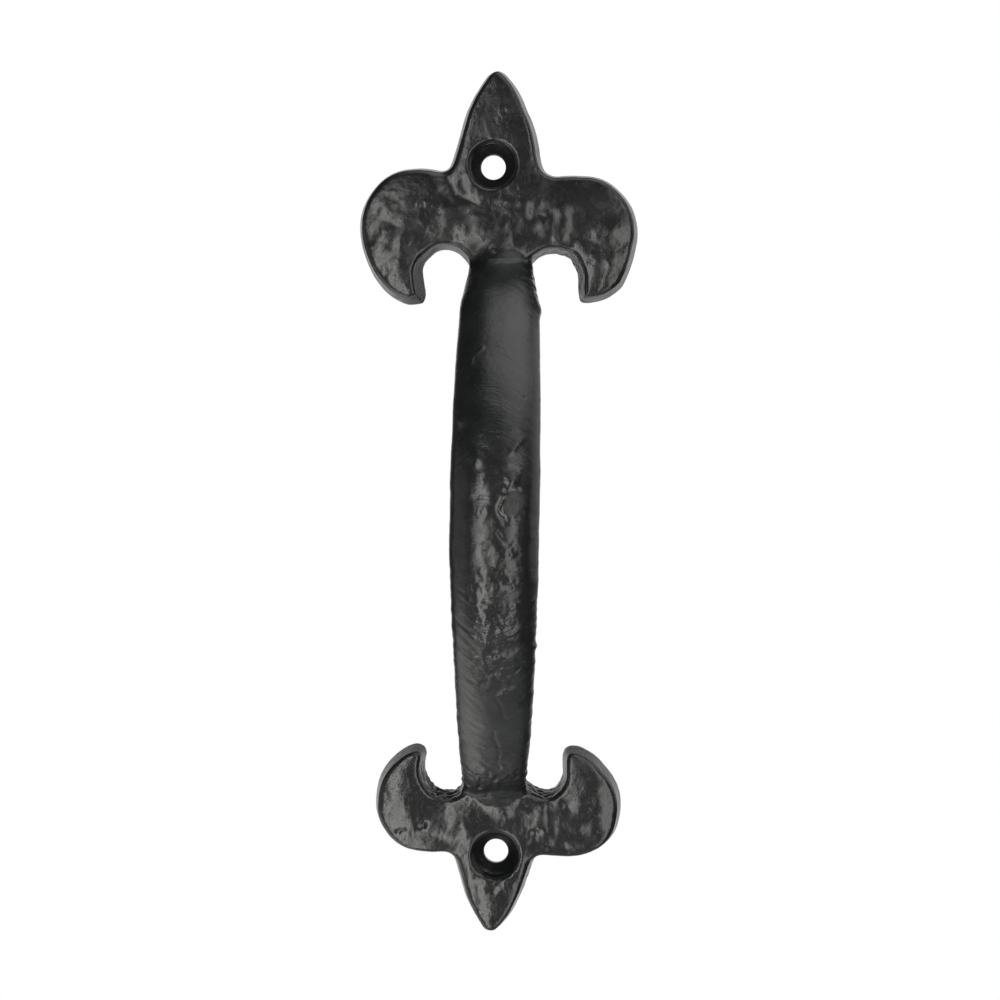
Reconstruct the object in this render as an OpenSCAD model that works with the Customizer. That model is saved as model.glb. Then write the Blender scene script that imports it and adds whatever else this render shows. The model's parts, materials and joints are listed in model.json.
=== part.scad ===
// Fleur-de-lis pull handle, cast iron.
// The back lies on the plane y = 0 and rests on the door, the grip stands out towards -Y,
// and +Z runs up the handle. The origin is midway between the two screw holes.
// The casting is divided at the two roots of the grip, where its members meet face to face.

/* [Plates] */
// Thickness of both plates
plate_t = 7; // [6:0.5:9]
// How much smaller the front of a plate is than its back, on each side
draft = 0.9; // [0.5:0.1:0.9]
// Bevel around the front of a plate
bevel = 0.5; // [0.3:0.1:0.5]

/* [Screw holes] */
// Distance between the two screw holes
hole_spacing = 162; // [160:1:164]
// Diameter of the clearance hole
hole_d = 5.8; // [4.5:0.1:6.5]
// Diameter of the recess for the screw's head, at the front of the plate
mouth_d = 12; // [10:0.5:13]
// Depth of the nearly straight part of the recess
recess_depth = 3; // [1:0.5:3.5]

/* [Grip] */
// Height of the upper root, where the grip meets the upper plate
root_top = 58; // [57:0.5:59]
// Height of the lower root, where the grip meets the lower plate
root_bottom = -63; // [-64:0.5:-62]
// How far the front of the grip stands out from the door
projection = 42; // [36:1:50]
// Thickness of the grip from front to back at its middle
grip_t = 12; // [10:0.5:15]
// Width of the grip at its widest
grip_w = 19.9; // [17:0.1:22]
// Width of the grip at its two roots
root_w = 14.7; // [14:0.1:16]
// How squarely the grip leaves the door: higher is steeper at its roots
bow = 2.3; // [2:0.1:3]

/* [Hidden] */
iron = [0.2, 0.2, 0.21];

// Each outline runs anticlockwise as seen from the front. A row is [x, z, rise]: rise is how far
// the edge to the next point bows out, as a circular arc. A minus sign makes it a hollow.
// Both necks run past the root of the grip and are trimmed there.
upper_outline = [
    // tip and left flank of the spear
    [0.8, 103.8, 0.3], [-1.9, 101.8, 0.3], [-6.4, 94, 0], [-10, 81.9, -0.5], [-12.2, 80.4, 0.4],
    // left lobe
    [-20, 81, 0.8], [-27.5, 77.3, 0.7], [-31.6, 69, 0.6], [-30.3, 59.5, 0.4], [-26.3, 52.7, 0.5],
    // left hook, and the hollow inside it
    [-20.2, 48.8, 0], [-16.5, 49.2, 0], [-15.9, 51.4, -0.1], [-16.7, 56.5, -0.6], [-14.9, 60, -0.6],
    [-11.1, 61.8, -0.5], [-7.1, 59.7, -0.4],
    // neck
    [-5.8, 56.5, 0], [-5.8, 50, 0], [9, 50, 0], [9, 56.6, -0.2],
    // the hollow inside the right hook, and the hook
    [9.5, 58.9, -0.2], [12.5, 60.6, -0.3], [16.5, 60.2, -0.6], [18.7, 58, -0.4], [19.8, 54, 0.2],
    [20.2, 49.2, 0], [22, 49, 0.1],
    // right lobe
    [26, 49.8, 0.3], [30.4, 53, 0.4], [33.5, 62, 0.5], [33.4, 69.6, 0.5], [29.5, 75.6, 0.7],
    // right flank of the spear
    [22.5, 79, 0.2], [14.4, 79, -0.2], [12, 80.3, -0.2], [10.9, 85, 0.5], [8, 94.5, 0.6], [3, 102.8, 0.3]
];
lower_outline = [
    // neck
    [6.9, -55, 0], [-7.9, -55, 0], [-7.9, -62.9, -0.3],
    // the hollow inside the left hook, and the hook
    [-8.6, -65.6, -0.3], [-10.8, -66.6, -0.3], [-14.4, -65.8, -0.3], [-16.8, -61.9, -0.3],
    [-16.3, -57.6, 0], [-16.8, -56, 0], [-18.5, -55.2, 0.3],
    // left lobe
    [-22.7, -57, 0.5], [-27.7, -62.9, 0.3], [-28.8, -69.2, 0.6], [-26.9, -76, 0.7], [-20.9, -80.7, 0.4],
    // left flank and tip of the spear
    [-12.1, -81.3, -0.4], [-10, -82.9, 0.1], [-7.5, -91.9, 0.2], [-4, -98.6, 0.5], [-1.1, -100.2, 0.4],
    // right flank of the spear
    [1.4, -98.8, 0.2], [4.4, -94.9, 0.3], [8.7, -84.3, -0.4], [10.5, -82, 0],
    // right lobe
    [17.4, -82.4, 0.5], [24.8, -80.3, 0.7], [29.2, -74.5, 0.3], [29.8, -68, 0.7], [26, -60.5, 0.4],
    // right hook, and the hollow inside it
    [21.3, -56.6, 0.3], [17.9, -55.7, 0], [16.4, -56.3, 0], [15.8, -58, 0], [15.9, -62.5, -0.2], [14.3, -65.6, -0.2],
    [11.9, -66.5, -0.2], [8.6, -65.1, -0.5], [6.9, -62.6, 0]
];
// Box that trims both necks: its sides stand in the hollows of the hooks
trim_x = [-11, 13.5];
trim_h = 12;
// An arc gets one point for every so many degrees that it turns
arc_step = 9;

// Screw recess: a nearly straight well under a soft mouth, then a 45 degree seat
well_d = mouth_d - 1.4;
floor_d = mouth_d - 2.2;
mouth_depth = 0.8;
seat_depth = recess_depth + (floor_d - hole_d) / 2;

// Grip: rings of points from the lower root to the upper one
rings = 44;
ring_sides = 28;
root_mid = (root_top + root_bottom) / 2;
half_span = (root_top - root_bottom) / 2;
// Share of the half span over which a root grows to the full thickness, and to the full width
thick_share = 0.12;
wide_share = 0.21;

// Direction of the edge from p to q, and the outward normal of that edge
function edge_dir(p, q) = (q - p) / norm(q - p);
function out_normal(d) = [d[1], -d[0]];

// Points along the arc from a to b that bows out by rise, without b itself
function arc_points(a, b, rise) =
    let (
        half = norm(b - a) / 2,
        turn = 2 * atan(rise / half),
        steps = max(1, ceil(2 * abs(turn) / arc_step)),
        along = edge_dir(a, b),
        out = out_normal(along)
    )
    steps == 1 ? [a] : [
        for (i = [0:steps - 1])
            let (phi = turn * (2 * i / steps - 1))
            a + along * half * (1 + sin(phi) / sin(turn)) + out * half * (cos(phi) - cos(turn)) / sin(turn)
    ];
function corner(row) = [row[0], row[1]];
function outline_points(rows) = [
    for (i = [0:len(rows) - 1])
        each arc_points(corner(rows[i]), corner(rows[(i + 1) % len(rows)]), rows[i][2])
];

// The closed line pts moved inwards by d, with mitred corners
function inset(pts, d) = [
    for (i = [0:len(pts) - 1])
        let (
            n = len(pts),
            before = out_normal(edge_dir(pts[(i + n - 1) % n], pts[i])),
            after = out_normal(edge_dir(pts[i], pts[(i + 1) % n]))
        )
        pts[i] - d * (before + after) / (1 + before * after)
];

// A closed solid through rings that all have the same number of points. Each ring runs
// anticlockwise as seen from the end that the rings lead to.
module loft(ring_list) {
    n = len(ring_list[0]);
    last = len(ring_list) - 1;
    walls = [
        for (r = [0:last - 1], i = [0:n - 1])
            let (j = (i + 1) % n)
            each [[r * n + i, (r + 1) * n + j, r * n + j], [r * n + i, (r + 1) * n + i, (r + 1) * n + j]]
    ];
    first_cap = [for (i = [0:n - 1]) i];
    last_cap = [for (i = [n - 1:-1:0]) last * n + i];
    polyhedron(points = [for (ring = ring_list) each ring], faces = concat(walls, [first_cap, last_cap]));
}

// A plate with drafted sides and a bevelled front, drawn 1 thick and then resized to plate_t
module drafted_plate(rows) {
    back = outline_points(rows);
    levels = [[0, 0], [1 - bevel / plate_t, draft], [1, draft + bevel]];
    resize([0, plate_t, 0])
        loft([for (level = levels) [for (p = inset(back, level[1])) [p[0], -level[0], p[1]]]]);
}

// The screw hole with its recess, along Y, cut from the front of a plate at height z
module screw_recess(z) {
    translate([0, -plate_t, z])
        rotate([-90, 0, 0])
            rotate_extrude($fn = 96)
                polygon([
                    [0, -1], [mouth_d / 2 + 1, -1], [mouth_d / 2, 0], [well_d / 2, mouth_depth],
                    [floor_d / 2, recess_depth], [hole_d / 2, seat_depth], [hole_d / 2, plate_t + 1], [0, plate_t + 1]
                ]);
}

// Removes the neck of a plate from height low upwards
module neck_trim(low) {
    translate([trim_x[0], -plate_t - 1, low])
        cube([trim_x[1] - trim_x[0], plate_t + 2, trim_h]);
}

// Along the grip u runs from -1 at the lower root to 1 at the upper one
function middle_y(u) = -plate_t / 2 - (projection - grip_t / 2 - plate_t / 2) * (1 - pow(abs(u), bow));
function slope(u) = (projection - grip_t / 2 - plate_t / 2) * bow * pow(abs(u), bow - 1) / half_span;
// 0 at a root, 1 beyond the share of the half span nearest to it
function fullness(u, share) =
    let (t = min(1, (1 - abs(u)) / share))
    t * t * (3 - 2 * t);
// Half the thickness along Y: the bar is a little thinner towards its ends, and it is cut on a slant
function half_t(u) =
    let (bar = (grip_t / 2) * (1 - 0.2 * u * u) * sqrt(1 + slope(u) * slope(u)))
    plate_t / 2 + (bar - plate_t / 2) * fullness(u, thick_share);
// The middle of the grip drifts to the right as it rises, and it is widest above its middle
function middle_x(u) = 1.15 + 0.95 * u - 0.4 * u * u;
function half_w(u) =
    let (bar = (grip_w / 2) * (1 - 0.165 * (u - 0.2) * (u - 0.2)))
    root_w / 2 + (bar - root_w / 2) * fullness(u, wide_share);
// Section: 2 is an ellipse, and more is squarer
function squareness(u) = 2.4 + 1.6 * (1 - fullness(u, thick_share));
function squared(v, power) = sign(v) * pow(abs(v), 2 / power);

module upper_fleur_plate() {
    color(iron)
        difference() {
            drafted_plate(upper_outline);
            neck_trim(root_top - trim_h);
            screw_recess(hole_spacing / 2);
        }
}

module grip() {
    color(iron)
        loft([
            for (r = [0:rings])
                let (u = -cos(180 * r / rings))
                [
                    for (i = [0:ring_sides - 1])
                        let (a = 360 * i / ring_sides, power = squareness(u))
                        [
                            middle_x(u) + half_w(u) * squared(cos(a), power),
                            middle_y(u) + half_t(u) * squared(sin(a), power),
                            root_mid + half_span * u
                        ]
                ]
        ]);
}

module lower_fleur_plate() {
    color(iron)
        difference() {
            drafted_plate(lower_outline);
            neck_trim(root_bottom);
            screw_recess(-hole_spacing / 2);
        }
}

upper_fleur_plate();
grip();
lower_fleur_plate();
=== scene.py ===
"""Looks of the cast-iron fleur-de-lis pull handle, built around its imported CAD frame.

The three CAD nodes give the size and the outlines. One rough skin is laid over all three and drawn
onto a smooth distance field, so that the plates' sides, the screw recesses and the roots of the grip
run into each other as in one casting. Foundry marks are then raised on it, and the skin is divided
again at the two roots. Lengths inside the shape functions are in millimetres.
"""
import json
import math
from functools import partial

import bmesh
import bpy
import numpy as np
from mathutils import Matrix, Vector, noise
from mathutils.kdtree import KDTree


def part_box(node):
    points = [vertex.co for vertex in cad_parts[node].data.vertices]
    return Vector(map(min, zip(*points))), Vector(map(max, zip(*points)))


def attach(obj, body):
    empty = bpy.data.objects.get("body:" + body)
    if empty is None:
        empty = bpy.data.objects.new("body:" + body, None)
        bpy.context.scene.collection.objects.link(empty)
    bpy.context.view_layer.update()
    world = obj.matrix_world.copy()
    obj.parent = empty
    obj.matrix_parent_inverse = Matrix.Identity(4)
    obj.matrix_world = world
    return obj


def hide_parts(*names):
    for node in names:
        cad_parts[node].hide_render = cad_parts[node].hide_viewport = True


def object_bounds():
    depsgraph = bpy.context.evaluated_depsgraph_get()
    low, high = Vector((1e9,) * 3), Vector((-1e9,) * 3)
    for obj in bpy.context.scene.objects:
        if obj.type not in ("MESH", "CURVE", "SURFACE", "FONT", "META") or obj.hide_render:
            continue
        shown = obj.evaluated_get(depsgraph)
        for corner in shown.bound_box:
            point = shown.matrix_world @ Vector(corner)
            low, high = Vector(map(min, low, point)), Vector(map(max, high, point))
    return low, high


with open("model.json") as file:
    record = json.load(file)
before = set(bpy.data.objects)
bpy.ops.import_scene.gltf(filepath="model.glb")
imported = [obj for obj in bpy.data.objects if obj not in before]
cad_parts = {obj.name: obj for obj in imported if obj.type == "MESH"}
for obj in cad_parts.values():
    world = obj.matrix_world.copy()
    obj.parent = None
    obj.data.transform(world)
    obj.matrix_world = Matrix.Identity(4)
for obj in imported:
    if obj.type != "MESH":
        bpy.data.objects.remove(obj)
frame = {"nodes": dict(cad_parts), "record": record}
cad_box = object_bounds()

MM = 0.001
BODY = "root"
UPPER, GRIP, LOWER = "upper_fleur_plate", "grip", "lower_fleur_plate"

# Places and sizes that the frame gives, in mm
ROOT_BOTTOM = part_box(GRIP)[0].z / MM
ROOT_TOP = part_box(GRIP)[1].z / MM
PLATE_T = -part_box(UPPER)[0].y / MM
MOUNTS = {m["name"]: m for m in frame["record"]["mounts"]}
HOLE_R = MOUNTS["upper_screw_hole"]["dims"]["r_mm"]
HOLE_Z = MOUNTS["upper_screw_hole"]["pos_m"][2] / MM

# The skin
VOXEL = 0.4   # mesh spacing
OUTLINE_STEP = 0.5                   # spacing of the points along an outline
OUTLINE_BLUR = 0.6                   # how far an outline is smoothed
GRID = 0.25                          # spacing of the outlines' distance maps
MAP_MARGIN = 4.0                     # how far a map reaches beyond its outline
DRAFT = 1.3                          # how much smaller a plate's front is than its back, on each side
FRONT_ROUND = 0.8                    # softness of the plates' front edges
BACK_ROUND = 0.5                     # softness of the edges that lie on the door
RECESS_ROUND = 0.35                  # softness of the recesses' mouths
RING_STEP = 0.5                      # spacing of the grip's rings
RING_BLUR = 1.8                      # how far the rings are evened out along the bar
BAR_POWER = 2.25                     # 2 is an oval section, and more is squarer
ROOT_OVERLAP = 1.5                   # how far the outlines' necks run on past the roots
FIT_TURNS = 7                        # rounds of drawing the skin onto the field
FIT_STEP = 0.6                       # how far a point may move in one round

# The room: (azimuth, elevation, angle where the glow ends, angle where it is full, strength) in degrees
GLOWS = ((180, 0, 40, 23, 0.8), (50, 62, 46, 8, 1.9))
DIM = 0.035                          # each glow's strength beyond its end

# The lamps: (name, azimuth, elevation, distance, width, height, power) in degrees, metres and watts
LAMPS = (
    ("strip_left", -16.5, -14, 0.9, 0.14, 1.1, 4.3),
    ("strip_right", 24.5, -10, 0.9, 0.26, 1.15, 3.75),
    ("left_side", -72, -22, 1.0, 1.1, 1.5, 2.2),
    ("right_side", 106, 14, 1.0, 1.2, 1.0, 3.0),
    # one soft lamp, brighter towards its middle
    ("low_left", -94, -50, 1.0, 1.0, 1.0, 3.4),
    ("low_left", -94, -50, 1.0, 0.7, 0.7, 5.0),
    ("low_left", -94, -50, 1.0, 0.45, 0.45, 2.4),
    ("low_back", -165, -62, 1.0, 0.8, 0.6, 1.0),
)
LAMP_COLOUR = (1.0, 0.985, 0.955)

# The sandy spots: (x, z, radius, roughness) for the blister on the grip, and beside the upper neck
SANDY_SPOTS = ((6.45, 3.6, 2.5, 0.42), (-3.9, 61.8, 2.6, 0.32), (7.3, 58.8, 1.6, 0.32))


# ---------------------------------------------------------------- the CAD model's shape

def cad_points(node):
    """The node's vertices, in mm."""
    mesh = frame["nodes"][node].data
    co = np.empty(len(mesh.vertices) * 3)
    mesh.vertices.foreach_get("co", co)
    return co.reshape(-1, 3) / MM


def back_edge(node):
    """The outer edge of a plate's flat back, in order, as (x, z) points."""
    mesh = frame["nodes"][node].data
    mesh.calc_loop_triangles()
    edges = set()
    for triangle in mesh.loop_triangles:
        corners = [mesh.vertices[i].co / MM for i in triangle.vertices]
        if max(abs(c.y) for c in corners) < 0.01:
            spots = [(round(c.x, 2), round(c.z, 2)) for c in corners]
            edges.update(zip(spots, spots[1:] + spots[:1]))
    follow = {a: b for a, b in sorted(edges) if (b, a) not in edges}
    lines = []
    while follow:
        line = [next(iter(follow))]
        while line[-1] in follow:
            line.append(follow.pop(line[-1]))
        lines.append(np.array(line[:-1]))
    return max(lines, key=lambda pts: np.ptp(pts[:, 0]))


def run_on(line, root, towards):
    """The outline with its neck drawn out a little past the root of the grip, and narrowed."""
    at_root = np.flatnonzero((np.abs(line[:, 1] - root) < 0.03) & (np.abs(line[:, 0]) < 11))
    first, last = at_root[0], at_root[-1]
    ends = line[[first, last]]
    middle = ends[:, 0].mean()
    tongue = [[middle + (x - middle) * 0.85, z + towards] for x, z in ends]
    return np.vstack([line[:first + 1], tongue, line[last:]])


def softened(line):
    """The closed line with even spacing, and its corners and flats smoothed out."""
    closed = np.vstack([line, line[:1]])
    run = np.concatenate([[0], np.cumsum(np.hypot(*np.diff(closed, axis=0).T))])
    count = int(run[-1] / OUTLINE_STEP)
    along = np.arange(count) * run[-1] / count
    pts = np.stack([np.interp(along, run, closed[:, k]) for k in (0, 1)], axis=1)
    reach = int(4 * OUTLINE_BLUR / OUTLINE_STEP)
    shifts = np.arange(-reach, reach + 1)
    weights = np.exp(-0.5 * (shifts * OUTLINE_STEP / OUTLINE_BLUR) ** 2)
    weights /= weights.sum()
    return sum(w * np.roll(pts, s, axis=0) for w, s in zip(weights, shifts))


def distance_map(line):
    """(lowest corner, signed distances) on a grid over the outline: minus is inside."""
    low = line.min(axis=0) - MAP_MARGIN
    nx, nz = np.ceil((line.max(axis=0) + MAP_MARGIN - low) / GRID).astype(int) + 1
    x = low[0] + GRID * np.arange(nx)[:, None]
    z = low[1] + GRID * np.arange(nz)[None, :]
    nearest = np.full((nx, nz), 1e9)
    inside = np.zeros((nx, nz), bool)
    for a, b in zip(line, np.roll(line, -1, axis=0)):
        d = b - a
        t = np.clip(((x - a[0]) * d[0] + (z - a[1]) * d[1]) / (d @ d), 0, 1)
        nearest = np.minimum(nearest, (x - a[0] - t * d[0]) ** 2 + (z - a[1] - t * d[1]) ** 2)
        if a[1] != b[1]:
            inside ^= ((a[1] > z) != (b[1] > z)) & (x < a[0] + (z - a[1]) * d[0] / d[1])
    return low, np.where(inside, -1.0, 1.0) * np.sqrt(nearest)


def look_up(table, x, z):
    """The map's value at each point, by bilinear interpolation."""
    low, values = table
    u = np.clip((x - low[0]) / GRID, 0, values.shape[0] - 1.001)
    v = np.clip((z - low[1]) / GRID, 0, values.shape[1] - 1.001)
    i, j = u.astype(int), v.astype(int)
    u, v = u - i, v - j
    near = values[i, j] * (1 - u) + values[i + 1, j] * u
    far = values[i, j + 1] * (1 - u) + values[i + 1, j + 1] * u
    return near * (1 - v) + far * v


def grip_rings():
    """Heights, middle x, half width, middle y and half thickness of the CAD grip's rings."""
    co = cad_points(GRIP)
    heights = np.unique(co[:, 2].round(2))
    rows = []
    for height in heights:
        ring = co[np.abs(co[:, 2] - height) < 0.02]
        low, high = ring.min(axis=0), ring.max(axis=0)
        rows.append([height, (low[0] + high[0]) / 2, (high[0] - low[0]) / 2,
                     (low[1] + high[1]) / 2, (high[1] - low[1]) / 2])
    return np.array(rows).T


# ---------------------------------------------------------------- the distance field

def smooth_max(a, b, soft):
    """The larger of the two, rounded off where they are within soft of each other."""
    return np.maximum(a, b) + np.maximum(soft - np.abs(a - b), 0) ** 2 / (4 * soft)


def smooth_min(a, b, soft):
    """The smaller of the two, rounded off in the same way."""
    return -smooth_max(-a, -b, soft)


def ramp(value, start, end):
    """0 before start and 1 after end, with a smooth rise between."""
    t = np.clip((value - start) / (end - start), 0, 1)
    return t * t * (3 - 2 * t)


class Casting:
    """The whole handle as a field: below 0 is iron, and the value is close to the distance in mm."""

    def __init__(self):
        self.maps = {
            UPPER: distance_map(softened(run_on(back_edge(UPPER), ROOT_TOP, -ROOT_OVERLAP))),
            LOWER: distance_map(softened(run_on(back_edge(LOWER), ROOT_BOTTOM, ROOT_OVERLAP))),
        }
        # The rings are spread a little, more so below the lower end, so that the bar leaves both
        # plates just before its CAD roots. They are then evened out along the bar, so that no ring
        # shows in the paint's shine.
        rings = grip_rings()
        middle = (ROOT_TOP + ROOT_BOTTOM) / 2
        spread = middle + (rings[0] - middle) * 1.02
        spread -= 0.20 * np.maximum(-50 - spread, 0)
        heights = np.arange(spread[0], spread[-1], RING_STEP)
        reach = 10
        weights = np.exp(-0.5 * (np.arange(-reach, reach + 1) * RING_STEP / RING_BLUR) ** 2)
        weights /= weights.sum()
        self.rings = [heights]
        for row in rings[1:]:
            even = np.interp(heights, spread, row)
            ends = np.pad(even, reach, mode="reflect", reflect_type="odd")
            self.rings.append(np.convolve(ends, weights, mode="valid"))
        # The casting's sides stray a little from the model's.
        left_in = np.interp(heights, [-60, -48, -35, -22, -10, 5, 20, 45, 56],
                            [0, 0.25, 0.45, 0.3, 0, 0.05, 0.3, 0.45, 0.2])
        right_out = np.interp(heights, [-60, -50, -35, -20, -5], [0, 0.2, 0.15, 0.1, 0])
        self.rings[1] += (left_in + right_out) / 2
        self.rings[2] += (right_out - left_in) / 2

    def edge_distance(self, p):
        """How far a point is from its own plate's outline, minus inside."""
        return np.where(p[:, 2] > 0, look_up(self.maps[UPPER], p[:, 0], p[:, 2]),
                        look_up(self.maps[LOWER], p[:, 0], p[:, 2]))

    def plates(self, p):
        """Both plates: drafted sides, and a front that swells up from its rim."""
        x, z, depth = p[:, 0], p[:, 2], -p[:, 1]
        edge = self.edge_distance(p)
        swell = 0.5 - 0.3 * ramp(z, 80, 90) - 0.1 * ramp(-z, 0, 20)
        crown = swell * np.clip(1 + edge / 8.0, 0, 1) ** 2 + 0.3 * np.clip(1 + edge / 2.6, 0, 1) ** 2
        # The walls inside the upper hooks lean more than the rims.
        lean = DRAFT + 1.3 * blob(x, z, (-17.0, 54.0), 4.0, 5.0)
        lean += 0.7 * blob(x, z, (20.0, 54.5), 3.0, 5.0)
        sides = edge + lean * np.clip(depth / PLATE_T, 0, 1)
        shape = smooth_max(sides, depth - PLATE_T + crown, FRONT_ROUND)
        return smooth_max(shape, -depth, BACK_ROUND)

    def bar(self, p):
        """The bowed grip: a rounded section that follows the rings."""
        heights, bow = self.rings[0], self.rings[3]
        z = np.clip(p[:, 2], heights[0], heights[-1])
        mid_x, half_w, mid_y, half_t = (np.interp(z, heights, row) for row in self.rings[1:])
        slope = np.interp(z + 0.5, heights, bow) - np.interp(z - 0.5, heights, bow)
        across = np.abs(p[:, 0] - mid_x) / half_w + 1e-6
        through = np.abs(p[:, 1] - mid_y) / half_t + 1e-6
        size = (across ** BAR_POWER + through ** BAR_POWER) ** (1 / BAR_POWER)
        steep_x = (across / size) ** (BAR_POWER - 1) / half_w
        steep_y = (through / size) ** (BAR_POWER - 1) / half_t
        body = (size - 1) / np.sqrt(steep_x ** 2 + steep_y ** 2 * (1 + slope ** 2))
        beyond = np.maximum(p[:, 2] - heights[-1], heights[0] - p[:, 2])
        return body + 0.6 * np.maximum(beyond, 0)

    def recess(self, p):
        """Plus inside either screw hole: a soft mouth, a well, a 45 degree seat and a clearance hole."""
        depth = p[:, 1] + PLATE_T
        radius = np.hypot(p[:, 0], np.abs(p[:, 2]) - HOLE_Z)
        turn = np.arctan2(p[:, 2], p[:, 0])
        uneven = 0.08 * np.sin(3 * turn + 1.0) + 0.05 * np.sin(7 * turn + depth)
        wall = HOLE_R + np.interp(depth, [-1, 0.2, 0.5, 0.8, 3.0, 3.2, 5.2],
                                  [3.3, 2.9, 2.6, 2.5, 2.35, 2.0, 0])
        return wall + uneven * ramp(wall, HOLE_R, HOLE_R + 1) - radius

    def __call__(self, p):
        # The grip runs into the plates most softly along its middle.
        soft = 1.2 + 3.0 * ramp(-np.abs(p[:, 0] - 1.5), -6.5, 0.0)
        iron = smooth_min(self.plates(p), self.bar(p), soft)
        return smooth_max(iron, self.recess(p), RECESS_ROUND)

    def slopes(self, p):
        """The field's gradient."""
        step = 0.04
        return np.stack([(self(p + shift) - self(p - shift)) / (2 * step)
                         for shift in np.eye(3) * step], axis=1)


# ---------------------------------------------------------------- foundry marks
# Each mark gives a height in mm over the points (x, z) seen from the front.

def blob(x, z, at, wide, tall=None, lean=0.0):
    """A soft round or oval lump, 1 high."""
    tall = tall or wide
    turn = math.radians(lean)
    u = (x - at[0]) * math.cos(turn) + (z - at[1]) * math.sin(turn)
    v = -(x - at[0]) * math.sin(turn) + (z - at[1]) * math.cos(turn)
    return np.exp(-(u / wide) ** 2 - (v / tall) ** 2)


def bubble(x, z, at, radius, rim=0.35):
    """A raised ring around a small dimple."""
    away = np.hypot(x - at[0], z - at[1])
    return np.exp(-((away - radius) / rim) ** 2) - 0.5 * np.exp(-(away / (0.6 * radius)) ** 2)


def line_mark(x, z, points, width):
    """A soft line along the points, 1 at its middle."""
    best = np.full(len(x), 1e9)
    for (ax, az), (bx, bz) in zip(points, points[1:]):
        dx, dz = bx - ax, bz - az
        t = np.clip(((x - ax) * dx + (z - az) * dz) / (dx * dx + dz * dz), 0, 1)
        best = np.minimum(best, np.hypot(x - ax - t * dx, z - az - t * dz))
    return np.exp(-(best / width) ** 2)


def grain(p, size, seed, stretch=(1, 1, 1)):
    """Smooth noise between about -1 and 1, with lumps about size mm across. Each seed gives its own."""
    q = p / (size * np.array(stretch)) + seed * 17.3
    return np.array([noise.noise(v) for v in q.tolist()])


def facets(x, z, rows):
    """Soft patches that lean: a row is (x, z), width, height, and the slopes across and upwards."""
    total = np.zeros_like(x)
    for at, wide, tall, across, upwards in rows:
        # Patches that face left lean less.
        across *= 0.42 if across > 0 else 0.60
        step = np.tanh((x - at[0]) / wide) * wide * across + (z - at[1]) * 0.5 * upwards
        total += step * blob(x, z, at, 3.0 * wide, 1.4 * tall)
    return total


def pit(x, z, at, size, depth):
    """A small oval hollow left by loose sand."""
    return -depth * blob(x, z, at, 0.75 * size, 0.5 * size, 20)


def upper_marks(x, z):
    """The upper plate's patches, crease, bubbles and ripples."""
    height = facets(x, z, [
        # left lobe
        ((-28.6, 64.5), 2.2, 3.0, 0.22, 0.08), ((-22.6, 62.3), 1.1, 2.4, 0.42, 0.10),
        ((-26.3, 65.6), 1.3, 1.5, 0.30, 0.10), ((-22.6, 67.6), 2.0, 2.0, 0.22, 0.10),
        ((-25.8, 70.4), 1.8, 1.5, 0.22, 0.05), ((-21.1, 72.8), 1.8, 1.5, 0.20, 0.0),
        ((-11.7, 70.2), 1.0, 3.0, 0.32, 0.0), ((-24.5, 56.5), 2.0, 3.0, 0.24, 0.15),
        # neck, and left of the screw hole
        ((-4.2, 61.2), 2.4, 3.0, 0.52, 0.22), ((-7.9, 64.5), 1.0, 1.2, 0.40, 0.10),
        ((-6.4, 76.8), 1.3, 1.7, 0.36, 0.0), ((-4.2, 73.6), 1.5, 1.4, 0.34, 0.12),
        ((-4.9, 69.2), 1.3, 1.0, 0.34, 0.0), ((-7.6, 84.5), 1.4, 2.0, 0.25, 0.0),
        ((6.9, 58.6), 1.0, 1.6, -0.40, 0.10),
        # right lobe and its hook
        ((17.3, 69.8), 1.3, 1.1, -0.40, 0.0), ((12.6, 67.6), 0.9, 2.0, -0.42, 0.0),
        ((17.6, 65.3), 2.0, 2.2, -0.40, 0.15), ((23.4, 54.6), 1.7, 3.4, 0.32, 0.14),
        ((28.4, 56.0), 1.4, 3.4, -0.30, 0.18), ((28.7, 64.5), 1.3, 1.5, -0.34, 0.0),
        ((30.9, 65.0), 1.1, 1.6, -0.30, 0.05), ((8.1, 69.6), 1.3, 1.3, -0.42, 0.0),
        ((8.4, 71.8), 1.3, 0.8, -0.36, 0.15), ((3.8, 66.2), 0.8, 1.6, -0.36, 0.0),
    ])
    height -= 0.55 * line_mark(x, z, [(-12.6, 81.5), (-11.0, 78.0), (-9.4, 74.5)], 2.4)
    height += 0.10 * bubble(x, z, (-16.3, 71.8), 1.15)
    height += 0.10 * bubble(x, z, (2.9, 93.1), 1.0, 0.3) + 0.08 * bubble(x, z, (2.2, 91.4), 0.6, 0.25)
    height += 0.16 * line_mark(x, z, [(19.3, 64.6), (20.4, 61.8), (21.3, 60.3), (23.2, 59.2)], 1.3)
    height -= 0.20 * line_mark(x, z, [(25.3, 58.0), (25.1, 55.5), (24.7, 52.5)], 1.2)
    height += 0.10 * line_mark(x, z, [(-24.5, 74.4), (-22.3, 74.9)], 0.3)
    height += 0.10 * line_mark(x, z, [(-1.5, 91.0), (0.0, 86.8)], 0.3)
    return height


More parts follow.
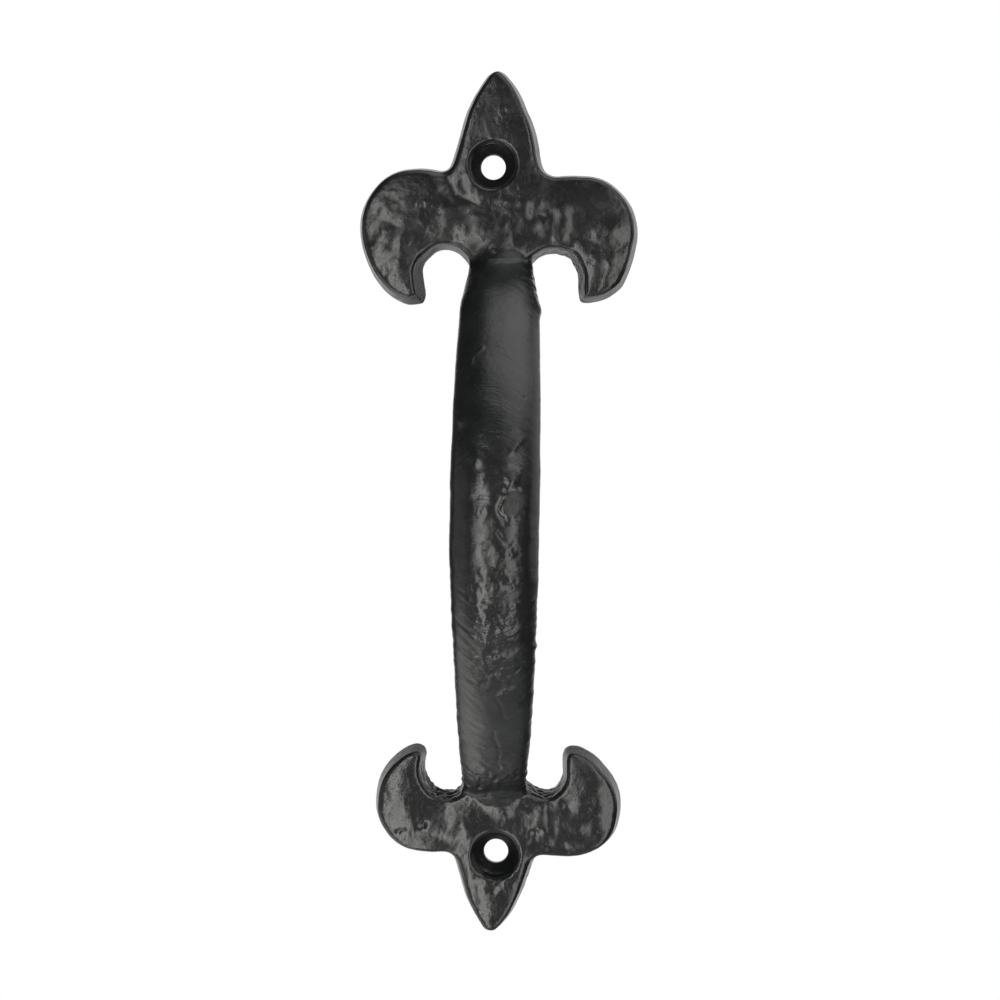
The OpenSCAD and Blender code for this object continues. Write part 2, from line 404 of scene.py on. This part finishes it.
def lower_marks(x, z):
    """The lower plate's patches, sand pits, bubbles and creases."""
    height = facets(x, z, [
        # left lobe
        ((-25.0, -68.0), 2.8, 5.0, 0.30, 0.08), ((-21.5, -72.0), 2.0, 2.5, 0.20, 0.05),
        ((-11.0, -72.0), 1.6, 3.0, 0.30, 0.0), ((-12.5, -76.5), 3.0, 1.2, 0.10, 0.30),
        # neck and spear
        ((-4.3, -63.6), 1.6, 2.2, 0.36, 0.15), ((-7.2, -79.0), 1.3, 5.0, 0.50, 0.10),
        ((-4.0, -88.5), 1.6, 4.0, 0.34, 0.12), ((6.0, -88.0), 1.6, 2.5, -0.30, 0.12),
        ((7.0, -82.5), 1.1, 1.8, -0.34, 0.0), ((4.4, -71.4), 1.2, 0.9, -0.40, 0.0),
        # right lobe
        ((26.2, -69.8), 2.0, 5.0, -0.34, 0.05), ((21.0, -74.2), 1.4, 1.6, -0.36, 0.05),
        ((11.8, -72.5), 0.9, 2.3, -0.42, 0.0), ((15.9, -68.9), 0.9, 1.2, -0.40, 0.1),
        ((21.0, -68.0), 1.2, 1.4, -0.30, 0.05),
    ])
    height += 0.30 * blob(x, z, (-0.5, -66.0), 3.5, 3.0) + 0.6 * blob(x, z, (0.8, -63.6), 8.0, 3.2)
    height += 0.10 * blob(x, z, (15.3, -76.0), 1.4, 1.0, 30)
    height += pit(x, z, (-17.5, -74.4), 1.3, 0.6)
    height += pit(x, z, (-22.3, -75.4), 1.0, 0.35) + pit(x, z, (9.6, -75.5), 1.2, 0.55)
    height -= 0.30 * line_mark(x, z, [(9.0, -77.8), (12.5, -78.7), (17.0, -79.6), (22.0, -80.4)], 1.1)
    height -= 0.25 * blob(x, z, (0.3, -88.6), 1.5, 1.1, 45)
    height -= 0.25 * blob(x, z, (-3.9, -86.4), 1.5, 1.1, 20)
    height += 0.04 * bubble(x, z, (0.1, -89.0), 1.3) + 0.07 * bubble(x, z, (6.6, -85.2), 1.4)
    height += 0.18 * line_mark(x, z, [(6.0, -65.5), (8.3, -67.6), (11.0, -69.0)], 1.3)
    return height


def grip_marks(x, z):
    """The grip's lumps, blister, fold, bubbles, cracks and scratches."""
    height = 0.55 * blob(x, z, (-5.8, 21.5), 1.3, 0.9, 30)
    height += 0.38 * blob(x, z, (-2.2, 13.4), 1.9, 1.6, -30)
    # lumps down the left of the lower half
    height += 0.20 * blob(x, z, (-0.8, 10.2), 2.2, 1.6) + 0.16 * blob(x, z, (-0.6, -13.0), 2.2, 3.0)
    height += 0.16 * blob(x, z, (-0.6, -21.0), 2.2, 3.0) - 0.12 * blob(x, z, (-2.6, 6.0), 1.6, 1.6)
    height += 0.05 * bubble(x, z, (-0.9, 2.0), 1.0)
    # round blister, with the fold beside it
    height += 0.16 * ramp(-np.hypot(x - 5.7, (z - 3.6) * 0.95), -2.9, -2.1)
    height -= 0.22 * line_mark(x, z, [(3.4, 5.6), (2.6, 3.8), (2.9, 1.8), (4.2, -0.2)], 0.4)
    height += 0.45 * blob(x, z, (5.5, 8.5), 1.1, 1.4, 25)
    height -= 0.16 * line_mark(x, z, [(4.4, 7.0), (5.8, 6.3), (6.8, 6.8)], 0.5)
    # bubbles on the right ripple
    height -= 0.12 * line_mark(x, z, [(2.3, -2.6), (3.2, -4.4), (4.4, -5.6), (5.2, -4.4)], 0.45)
    for spot, radius in (((4.6, -7.2), 0.9), ((4.2, -11.0), 0.8), ((4.9, -14.5), 0.9),
                         ((5.3, -18.6), 0.8), ((3.9, -21.4), 0.9), ((4.6, -25.6), 0.8),
                         ((1.4, -30.2), 0.8)):
        height += 0.10 * bubble(x, z, spot, radius)
    height -= 0.08 * line_mark(x, z, [(-3.6, -28.6), (-1.0, -29.4), (1.5, -29.9), (4.0, -28.2)], 1.1)
    height -= 0.30 * blob(x, z, (-0.4, -34.0), 3.0, 4.5)
    # cracks and scratches
    height -= 0.13 * line_mark(x, z, [(3.0, -34.0), (2.6, -37.0), (1.2, -39.6), (2.1, -42.0),
                                      (2.9, -45.5)], 0.35)
    height -= 0.16 * line_mark(x, z, [(0.2, -48.5), (0.8, -51.0), (1.7, -53.0), (1.3, -56.0),
                                      (1.8, -58.5)], 0.35)
    height += 0.20 * line_mark(x, z, [(-7.2, 32.0), (-4.6, 34.0), (-3.6, 36.3), (-1.6, 38.0)], 0.25)
    height += pit(x, z, (8.0, 26.9), 0.4, 0.3)
    height += 0.16 * line_mark(x, z, [(7.0, 17.5), (5.5, 15.5)], 0.9)
    return height


def edge_marks(p):
    """Flash and burrs on the rims, in mm outwards."""
    x, z = p[:, 0], p[:, 2]
    hollows = blob(x, z, (-12.5, -66.0), 5.5, 5.0) + 0.6 * blob(x, z, (10.5, -66.5), 5.5, 4.0)
    hollows += 0.4 * blob(x, z, (16.0, 57.0), 5.0, 5.0)
    ragged = 0.45 * (grain(p, 1.1, 11) + 0.3) * hollows
    necks = blob(x, z, (0, -61.0), 12, 5.0) + 0.7 * blob(x, z, (9, 52.0), 4, 6.0)
    rough_neck = 0.35 * grain(p, 1.3, 12) * ramp(np.abs(x), 5, 7) * necks
    flash = 0.5 * blob(x, z, (11.2, 46.6), 2.5, 1.5) + 0.35 * blob(x, z, (10.6, -28.2), 2.0, 0.7)
    return ragged + rough_neck + flash


def arcs(p, size):
    """Noise drawn out along the arcs that a sanding belt left on the grip."""
    across = p[:, 2] + 0.07 * (p[:, 0] - 1) ** 2 * np.tanh((p[:, 2] + 5) / 12)
    return grain(np.stack([p[:, 0] / 3.5, p[:, 1] / 3.5, across], axis=1), size, 21)


def smooth_paint(x, z):
    """1 where the paint lies smooth: the top of the lobes, the upper spear, and by the lower hooks."""
    smooth = blob(x, z, (-19.5, 77.0), 10.0, 6.0) + blob(x, z, (21.0, 73.5), 9.0, 6.0)
    smooth += blob(x, z, (2.0, 93.0), 9.0, 9.0)
    smooth += blob(x, z, (20.0, -61.5), 5.0, 5.0) + 0.7 * blob(x, z, (18.0, -70.5), 5.0, 5.0)
    smooth += 0.8 * blob(x, z, (-17.0, -61.0), 4.0, 5.0)
    return np.clip(smooth, 0, 1)


def dross(x, z):
    """A band that runs down the front of the grip's lower half, and the patch at its end."""
    right = blob(x, 0, (4.2, 0.0), 2.6) * ramp(-z, 0, 8)
    left = 0.8 * blob(x, 0, (-1.5, 0.0), 2.2) * ramp(-z, 6, 14)
    return (right + left) * ramp(z, -44, -34) + blob(x, z, (0.5, -33.0), 4.5, 5.0)


def sandy(p, coarse, on_plate, band):
    """Fine sand all over, and coarser sand at the shoulder, the necks, the band and the blister."""
    x, z = p[:, 0], p[:, 2]
    shoulder = blob(x, z, (9.5, 78.5), 3.5, 4.0)
    neck = blob(x, z, (0.0, -61.0), 9.0, 6.5) + 0.8 * blob(x, z, (2.0, -86.0), 7.0, 4.0)
    depth = 0.01 + 0.02 * coarse * on_plate + 0.05 * shoulder + 0.14 * neck + 0.10 * band
    sand = depth * grain(p, 0.95, 4, (1, 3, 1))
    sand += 0.40 * blob(x, z, (0.0, -61.5), 9.0, 3.5) * grain(p, 1.3, 14, (1, 4, 1))
    return sand + 0.20 * blob(x, z, (5.7, 3.6), 2.2) * grain(p, 1.1, 15)


def ground_hollows(p):
    """The backs were ground flat on a belt, which left the deepest hollows of the casting."""
    deep = ramp(grain(p, 4.0, 16) + 0.4 * grain(p, 1.5, 17), 0.05, 0.45)
    return 0.22 * deep + 0.05 * ramp(grain(p, 1.2, 18), 0.1, 0.5)


def relief(p, normals):
    """How far each point of the smooth casting is raised, in mm."""
    x, z = p[:, 0], p[:, 2]
    front = ramp(-normals[:, 1], 0.25, 0.75)
    back = ramp(normals[:, 1], 0.3, 0.8) * ramp(p[:, 1], -2.0, -0.5)
    on_plate = ramp(p[:, 1], -11.0, -7.5)
    on_grip = 1 - on_plate
    upper = on_plate * ramp(z, 0, 10)
    lower = on_plate * ramp(-z, 0, 10)
    # The screw recesses stay clean.
    seat = ramp(np.hypot(x, np.abs(z) - HOLE_Z), HOLE_R + 0.5, HOLE_R + 3.2)

    # Marks, moved about a little by noise so that none is a plain round shape
    u = x + 0.5 * grain(p, 1.8, 7) + 0.8 * grain(p, 5.0, 9)
    v = z + 0.5 * grain(p, 1.8, 8) + 0.8 * grain(p, 5.0, 10)
    marks = upper * upper_marks(u, v) + 0.85 * lower * lower_marks(u, v) + on_grip * grip_marks(u, v)

    # Unevenness of the whole surface
    coarse = 1 - 0.75 * smooth_paint(x, z)
    band = on_grip * front * dross(x, z)
    flat = (1.5, 1, 0.8)
    plate_noise = 0.28 * (0.2 + 0.8 * coarse) * grain(p, 7.5, 1, flat)
    plate_noise += coarse * (0.08 * grain(p, 2.8, 2, flat) + 0.04 * grain(p, 1.3, 3, flat))
    plate_noise *= (1 - 0.25 * lower) * (0.35 + 0.65 * front)
    rough = ramp(-z, -15, -9) * ramp(z, -60, -30)
    grip_noise = 0.14 * grain(p, 6.0, 5) + 0.08 * rough * grain(p, 2.4, 13)
    grip_noise += (0.03 + 0.10 * ramp(-z, 5, 30)) * arcs(p, 1.2) * ramp(np.abs(x - 1), 1, 5)
    scale = 0.15 * band * grain(p, 2.0, 6, (1, 3, 1))
    uneven = on_plate * plate_noise + on_grip * grip_noise + sandy(p, coarse, on_plate, band) + scale

    raised = (front * marks + uneven) * seat * (1 - 0.85 * back)
    raised -= back * ground_hollows(p) * seat
    return raised + edge_marks(p) * (1 - front) * (1 - back)


# ---------------------------------------------------------------- meshes

def rough_skin():
    """One even mesh over the three CAD nodes. The grip is drawn out so that it runs into both plates."""
    joined = bmesh.new()
    for name in (UPPER, GRIP, LOWER):
        mesh = frame["nodes"][name].data.copy()
        if name == GRIP:
            middle = Vector((0, 0, (ROOT_TOP + ROOT_BOTTOM) / 2 * MM))
            longer = Matrix.Diagonal((1, 1, 1 + 4.0 / (ROOT_TOP - ROOT_BOTTOM), 1))
            mesh.transform(Matrix.Translation(middle) @ longer @ Matrix.Translation(-middle))
        joined.from_mesh(mesh)
        bpy.data.meshes.remove(mesh)
    bmesh.ops.remove_doubles(joined, verts=joined.verts, dist=1e-6)
    mesh = bpy.data.meshes.new("rough_skin")
    joined.to_mesh(mesh)
    joined.free()
    holder = bpy.data.objects.new("rough_skin", mesh)
    bpy.context.scene.collection.objects.link(holder)
    remesh = holder.modifiers.new("even", "REMESH")
    remesh.mode = "VOXEL"
    remesh.voxel_size = VOXEL * MM
    even = bpy.data.meshes.new_from_object(holder.evaluated_get(bpy.context.evaluated_depsgraph_get()))
    bpy.data.objects.remove(holder)
    return even


def fitted(casting, p, edges):
    """The points drawn onto the casting's surface, and spread evenly over it."""
    count = np.bincount(edges.ravel(), minlength=len(p))[:, None]
    for turn in range(FIT_TURNS):
        if 0 < turn < FIT_TURNS - 1:
            total = np.zeros_like(p)
            for a, b in ((0, 1), (1, 0)):
                for k in range(3):
                    total[:, k] += np.bincount(edges[:, a], weights=p[edges[:, b], k], minlength=len(p))
            shift = total / count - p
            shift -= normals * (shift * normals).sum(axis=1)[:, None]
            p = p + 0.5 * shift
        slopes = casting.slopes(p)
        steep = np.linalg.norm(slopes, axis=1)[:, None]
        normals = slopes / np.maximum(steep, 1e-6)
        step = np.clip(casting(p)[:, None] / np.maximum(steep, 0.5), -FIT_STEP, FIT_STEP)
        p = p - normals * step
    return p, normals


def casting_mesh():
    """The finished skin of the whole handle."""
    casting = Casting()
    mesh = rough_skin()
    p = np.empty(len(mesh.vertices) * 3)
    mesh.vertices.foreach_get("co", p)
    edges = np.empty(len(mesh.edges) * 2, np.int64)
    mesh.edges.foreach_get("vertices", edges)
    p, normals = fitted(casting, p.reshape(-1, 3) / MM, edges.reshape(-1, 2))
    p = p + normals * relief(p, normals)[:, None]
    # Nothing may stand outside the CAD model's box.
    low, high = (np.array(corner) / MM for corner in cad_box)
    p = np.clip(p, low, high)
    mesh.vertices.foreach_set("co", (p * MM).ravel())
    mesh.update()
    return mesh


def cut(bm, height, up, clear):
    """Cuts the mesh level at a height, and can clear what lies beyond it, above or below."""
    bmesh.ops.bisect_plane(bm, geom=bm.verts[:] + bm.edges[:] + bm.faces[:], dist=1e-8,
                           plane_co=(0, 0, height * MM), plane_no=(0, 0, up), clear_outer=clear)


def divided(whole, low, high):
    """The part of the skin between two heights, closed where it was cut, and how many faces are skin."""
    part = bmesh.new()
    part.from_mesh(whole)
    for height, up in ((low, -1), (high, 1)):
        if height is not None:
            cut(part, height, up, clear=True)
    part.normal_update()
    kept = len(part.faces)
    for height in (low, high):
        if height is not None:
            rim = [e for e in part.edges
                   if e.is_boundary and abs(e.verts[0].co.z - height * MM) < 1e-6]
            made = bmesh.ops.edgenet_fill(part, edges=rim)
            bmesh.ops.triangulate(part, faces=made["faces"])
    bmesh.ops.recalc_face_normals(part, faces=part.faces)
    mesh = bpy.data.meshes.new("piece")
    part.to_mesh(mesh)
    part.free()
    return mesh, kept


def shade(mesh, kept, whole_normals, tree):
    """Smooth shading from the whole skin's normals, so that no seam shows, and flat ends."""
    own = [Vector(whole_normals[tree.find(v.co)[1]]) for v in mesh.vertices]
    corner_normals = []
    for face in mesh.polygons:
        face.use_smooth = True
        flat = face.index >= kept
        corner_normals += [face.normal.copy() if flat else own[i] for i in face.vertices]
    mesh.normals_split_custom_set(corner_normals)
    return mesh


# ---------------------------------------------------------------- paint

def add(tree, kind, **inputs):
    """A shader node with its inputs set: a value, or a socket to link."""
    node = tree.nodes.new(kind)
    for name, value in inputs.items():
        socket = node.inputs[name.replace("_", " ")]
        if isinstance(value, bpy.types.NodeSocket):
            tree.links.new(value, socket)
        else:
            socket.default_value = value
    return node


def maths_node(tree, operation, a, b=0.0):
    """The result of a sum on two values or sockets."""
    node = tree.nodes.new("ShaderNodeMath")
    node.operation = operation
    for socket, value in zip(node.inputs, (a, b)):
        if isinstance(value, bpy.types.NodeSocket):
            tree.links.new(value, socket)
        else:
            socket.default_value = value
    return node.outputs[0]


def ramp_node(tree, value, low, high, to_low=0.0, to_high=1.0):
    """The value drawn smoothly from low..high onto to_low..to_high."""
    node = add(tree, "ShaderNodeMapRange", Value=value, From_Min=low, From_Max=high,
               To_Min=to_low, To_Max=to_high)
    node.interpolation_type = "SMOOTHSTEP"
    return node.outputs["Result"]


def black_paint():
    """Satin black paint: uneven gloss, orange peel, pits, and linishing marks on the grip."""
    mat = bpy.data.materials.new("satin_black_paint")
    mat.use_nodes = True
    tree = mat.node_tree
    tree.nodes.clear()
    maths, ramped = partial(maths_node, tree), partial(ramp_node, tree)
    place = tree.nodes.new("ShaderNodeTexCoord").outputs["Object"]
    mm = add(tree, "ShaderNodeMapping", Vector=place, Scale=(1 / MM, 1 / MM, 1 / MM)).outputs["Vector"]
    x, y, z = add(tree, "ShaderNodeSeparateXYZ", Vector=mm).outputs

    def cloud(scale, detail, rough, vector=mm):
        """Noise between 0 and 1."""
        found = add(tree, "ShaderNodeTexNoise", Vector=vector, Scale=scale, Detail=detail,
                    Roughness=rough)
        return found.outputs["Fac"]

    # Linishing marks run in arcs across the grip only.
    off_middle = maths("ABSOLUTE", maths("SUBTRACT", z, (ROOT_TOP + ROOT_BOTTOM) / 2))
    half = (ROOT_TOP - ROOT_BOTTOM) / 2
    between_roots = ramped(off_middle, half - 2, half + 2, 1.0, 0.0)
    on_grip = maths("MULTIPLY", between_roots, ramped(maths("ABSOLUTE", x), 12, 13, 1.0, 0.0))
    lean = maths("TANH", maths("DIVIDE", z, 12.0))
    bend = maths("MULTIPLY", maths("MULTIPLY", maths("MULTIPLY", x, x), 0.07), lean)
    along = add(tree, "ShaderNodeCombineXYZ", X=maths("MULTIPLY", x, 0.3), Y=maths("MULTIPLY", y, 0.3),
                Z=maths("MULTIPLY", maths("ADD", z, bend), 2.6))
    streaks = cloud(1.0, 2.0, 0.5, along.outputs["Vector"])

    # The paint's own surface
    peel = cloud(0.9, 4.0, 0.6)
    dust = cloud(4.0, 2.0, 0.6)
    pits = ramped(cloud(1.3, 1.0, 0.4), 0.70, 0.78)
    height = maths("ADD", peel, maths("MULTIPLY", dust, 0.16))
    height = maths("ADD", height, maths("MULTIPLY", streaks, on_grip))
    height = maths("SUBTRACT", height, maths("MULTIPLY", pits, 0.5))
    bump = add(tree, "ShaderNodeBump", Height=height, Strength=1.0, Distance=0.065 * MM)

    shade_mix = ramped(cloud(0.22, 3.0, 0.55), 0.3, 0.7)
    colour = add(tree, "ShaderNodeValToRGB", Fac=shade_mix)
    colour.color_ramp.elements[0].color = (0.0062, 0.0068, 0.0073, 1)
    colour.color_ramp.elements[1].color = (0.0100, 0.0108, 0.0113, 1)

    # The plates' paint is matt in patches, fewer on the lower one. The grip's is duller low down.
    matt = ramped(on_grip, 0, 1, 0.36, ramped(z, -48, -22, 0.44, 0.32))
    sleek = ramped(on_grip, 0, 1, 0.23, ramped(z, -48, -22, 0.36, 0.22))
    start = ramped(z, -70, -50, 0.56, 0.47)
    gloss = ramped(cloud(0.20, 6.0, 0.62), start, maths("ADD", start, 0.25), sleek, matt)
    in_front = ramped(y, -7, -4, 1.0, 0.0)
    for spot_x, spot_z, radius, dull in SANDY_SPOTS:
        off_x = maths("ADD", maths("SUBTRACT", x, spot_x), maths("MULTIPLY", peel, 1.5))
        off_z = maths("SUBTRACT", z, spot_z)
        reach = maths("ADD", maths("MULTIPLY", off_x, off_x), maths("MULTIPLY", off_z, off_z))
        spot = maths("MULTIPLY", ramped(reach, 0.5 * radius ** 2, 1.5 * radius ** 2, 1.0, 0.0), in_front)
        gloss = ramped(spot, 0, 1, gloss, dull)
    paint = add(tree, "ShaderNodeBsdfPrincipled", Base_Color=colour.outputs["Color"], Roughness=gloss,
                Normal=bump.outputs["Normal"])
    paint.inputs["Specular IOR Level"].default_value = 0.5
    out = tree.nodes.new("ShaderNodeOutputMaterial")
    tree.links.new(paint.outputs["BSDF"], out.inputs["Surface"])
    return mat


# ---------------------------------------------------------------- studio

def direction(azimuth, elevation):
    """Azimuth 0 is straight in front of the handle, and plus is to the right."""
    az, el = math.radians(azimuth), math.radians(elevation)
    return Vector((math.sin(az) * math.cos(el), -math.cos(az) * math.cos(el), math.sin(el)))


def place_camera():
    """The photograph's view: a little to the right of the handle and a little above it."""
    target = Vector((1.2, 0, 2.73)) * MM
    distance = 461.8 * MM
    roll = math.radians(-0.21)
    back = direction(2.0, 2.6)
    right = (-back).cross(Vector((0, 0, 1))).normalized()
    up = back.cross(right)
    side = right * math.cos(roll) + up * math.sin(roll)
    top = up * math.cos(roll) - right * math.sin(roll)
    data = bpy.data.cameras.new("camera")
    data.lens = 70
    data.clip_start = 0.01
    camera = bpy.data.objects.new("camera", data)
    turned = Matrix((side, top, back)).transposed().to_4x4()
    camera.matrix_world = Matrix.Translation(target + back * distance) @ turned
    bpy.context.scene.collection.objects.link(camera)
    bpy.context.scene.camera = camera


def softbox(name, azimuth, elevation, distance, wide, tall, power):
    """An area light that faces the handle."""
    away = direction(azimuth, elevation)
    data = bpy.data.lights.new(name, "AREA")
    data.shape = "RECTANGLE"
    data.size, data.size_y = wide, tall
    data.energy = power
    data.color = LAMP_COLOUR
    light = bpy.data.objects.new(name, data)
    light.location = away * distance
    light.rotation_euler = away.to_track_quat("Z", "Y").to_euler()
    light.visible_camera = False
    bpy.context.scene.collection.objects.link(light)


def room():
    """The camera sees plain white. The handle sees a dim room, a bright wall behind it and a glow above."""
    world = bpy.data.worlds.new("studio")
    bpy.context.scene.world = world
    world.use_nodes = True
    tree = world.node_tree
    tree.nodes.clear()
    facing = tree.nodes.new("ShaderNodeTexCoord").outputs["Generated"]
    strength = 0.0
    for azimuth, elevation, outer, inner, bright in GLOWS:
        towards = tree.nodes.new("ShaderNodeVectorMath")
        towards.operation = "DOT_PRODUCT"
        tree.links.new(facing, towards.inputs[0])
        towards.inputs[1].default_value = direction(azimuth, elevation)
        glow = ramp_node(tree, towards.outputs["Value"], math.cos(math.radians(outer)),
                         math.cos(math.radians(inner)), DIM, bright)
        strength = maths_node(tree, "ADD", strength, glow)
    lit = add(tree, "ShaderNodeBackground", Color=(1, 1, 1, 1), Strength=strength)
    seen = add(tree, "ShaderNodeBackground", Color=(1, 1, 1, 1), Strength=1.0)
    path = tree.nodes.new("ShaderNodeLightPath")
    mix = tree.nodes.new("ShaderNodeMixShader")
    tree.links.new(path.outputs["Is Camera Ray"], mix.inputs[0])
    tree.links.new(lit.outputs[0], mix.inputs[1])
    tree.links.new(seen.outputs[0], mix.inputs[2])
    out = tree.nodes.new("ShaderNodeOutputWorld")
    tree.links.new(mix.outputs[0], out.inputs[0])


def pale_floor():
    """A plain floor well below the handle, in metres."""
    floor_mesh = bpy.data.meshes.new("floor")
    half, drop = 2.0, -2.1
    corners = [(-half, -half, drop), (half, -half, drop), (half, half, drop), (-half, half, drop)]
    floor_mesh.from_pydata(corners, [], [(0, 1, 2, 3)])
    floor = bpy.data.objects.new("floor", floor_mesh)
    pale = bpy.data.materials.new("pale_floor")
    pale.use_nodes = True
    shader = pale.node_tree.nodes["Principled BSDF"]
    shader.inputs["Base Color"].default_value = (0.8, 0.8, 0.8, 1)
    shader.inputs["Roughness"].default_value = 0.9
    floor_mesh.materials.append(pale)
    bpy.context.scene.collection.objects.link(floor)


def studio():
    """The room, the lamps and the floor."""
    room()
    for lamp in LAMPS:
        softbox(*lamp)
    pale_floor()
    bpy.context.scene.view_settings.view_transform = "Standard"


# ---------------------------------------------------------------- the handle

def build():
    """The three pieces, cut from one skin. Each replaces its CAD node."""
    whole = casting_mesh()
    bm = bmesh.new()
    bm.from_mesh(whole)
    for height in (ROOT_BOTTOM, ROOT_TOP):
        cut(bm, height, 1, clear=False)
    bm.normal_update()
    bm.to_mesh(whole)
    bm.free()
    whole_normals = [tuple(v.normal) for v in whole.vertices]
    tree = KDTree(len(whole.vertices))
    for v in whole.vertices:
        tree.insert(v.co, v.index)
    tree.balance()
    paint = black_paint()
    for name, node, low, high in (("upper_fleur_casting", UPPER, ROOT_TOP, None),
                                  ("grip_casting", GRIP, ROOT_BOTTOM, ROOT_TOP),
                                  ("lower_fleur_casting", LOWER, None, ROOT_BOTTOM)):
        mesh, kept = divided(whole, low, high)
        mesh.name = name
        shade(mesh, kept, whole_normals, tree)
        piece = bpy.data.objects.new(name, mesh)
        mesh.materials.append(paint)
        bpy.context.scene.collection.objects.link(piece)
        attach(piece, BODY)
        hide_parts(node)
    bpy.data.meshes.remove(whole)


place_camera()
studio()
build()
